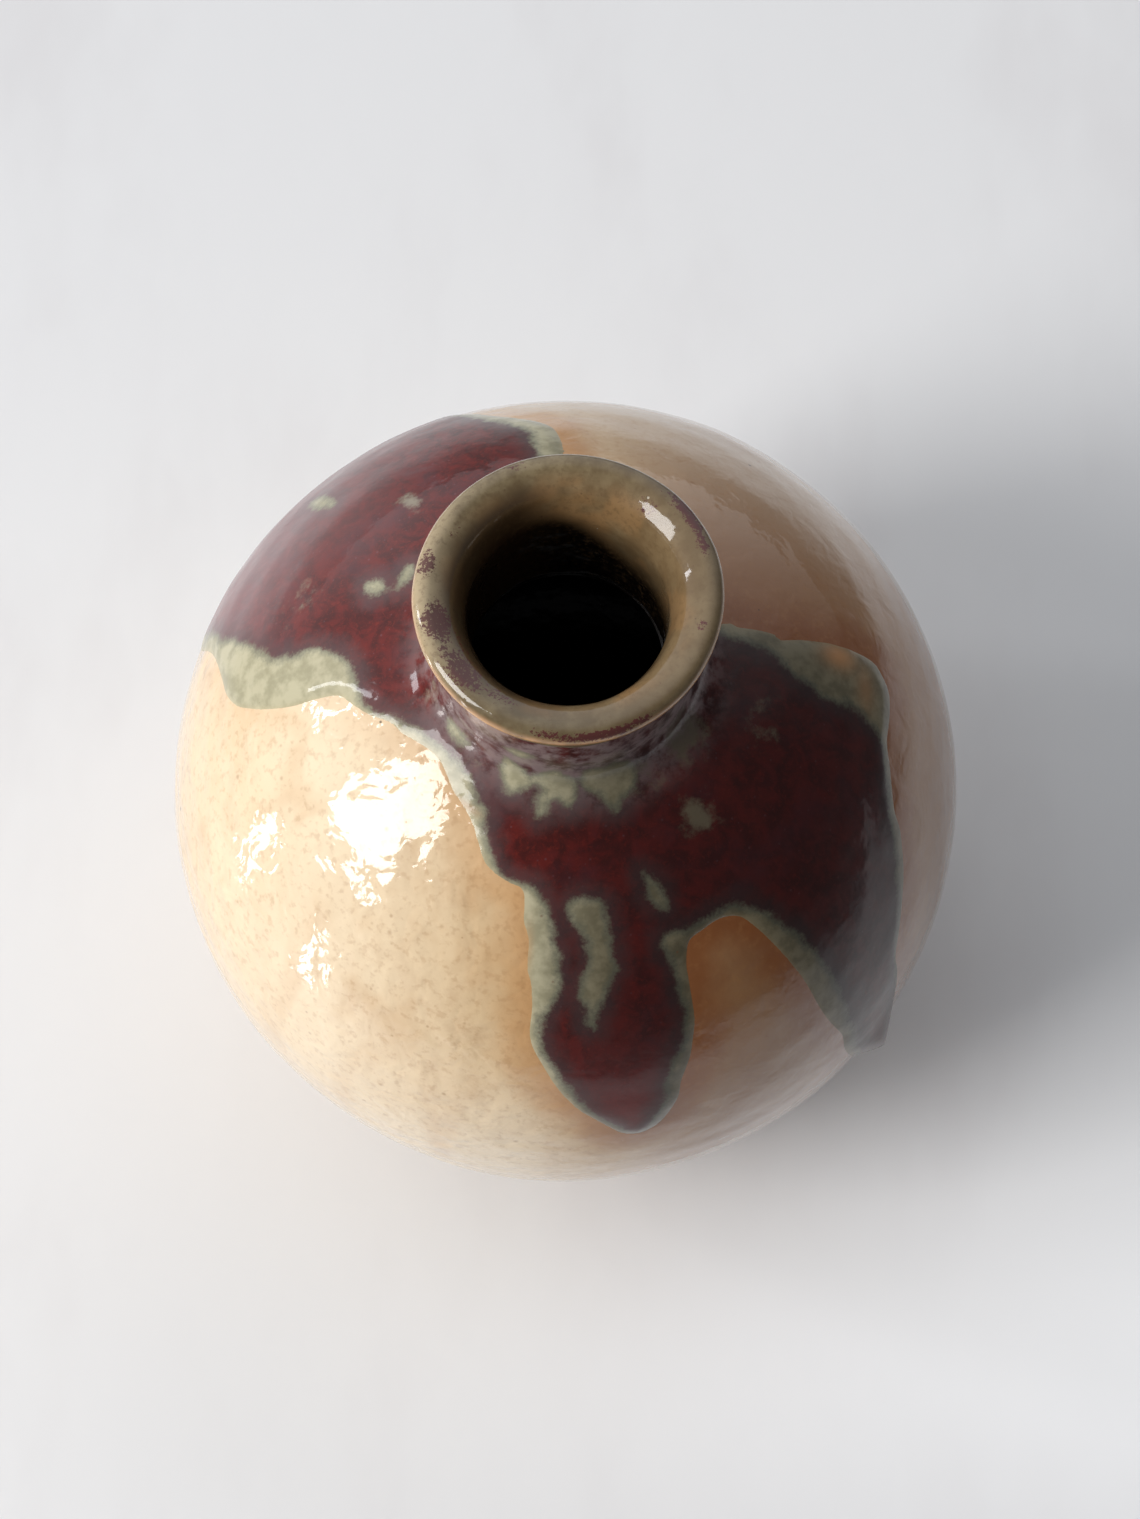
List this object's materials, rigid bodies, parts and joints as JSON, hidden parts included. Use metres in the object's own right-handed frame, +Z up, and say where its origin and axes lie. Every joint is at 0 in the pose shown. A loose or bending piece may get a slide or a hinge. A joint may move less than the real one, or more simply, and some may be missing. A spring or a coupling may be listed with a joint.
{
  "type": "bud vase",
  "caption": "Small round ceramic bud vase with a short flared neck, honey glaze and poured red glaze.",
  "frame": {"origin": "centre of the foot ring's resting face", "axes": "+Z up along the neck, out of the mouth; -Y is the side with the narrow front run of red glaze"},
  "size_m": [0.1, 0.1, 0.114],
  "materials": {
    "bare_clay": "matt, unglazed, toasted",
    "stoneware": "matt clay body under the glaze",
    "honey_glaze": "gloss, speckled with iron",
    "olive_glaze": "gloss, flecked with red",
    "liner_glaze": "gloss, nearly black",
    "red_glaze": "high gloss, oxblood with pale green edges"
  },
  "bodies": {
    "root": {"foot_ring": "bare_clay", "belly_wall": "stoneware", "neck_collar": "stoneware", "lip_ring": "stoneware", "honey_glaze_coat": "honey_glaze", "lip_glaze": "olive_glaze", "liner_glaze": "liner_glaze", "red_run_left": "red_glaze", "red_run_front": "red_glaze", "red_run_right": "red_glaze"}
  },
  "joints": []
}
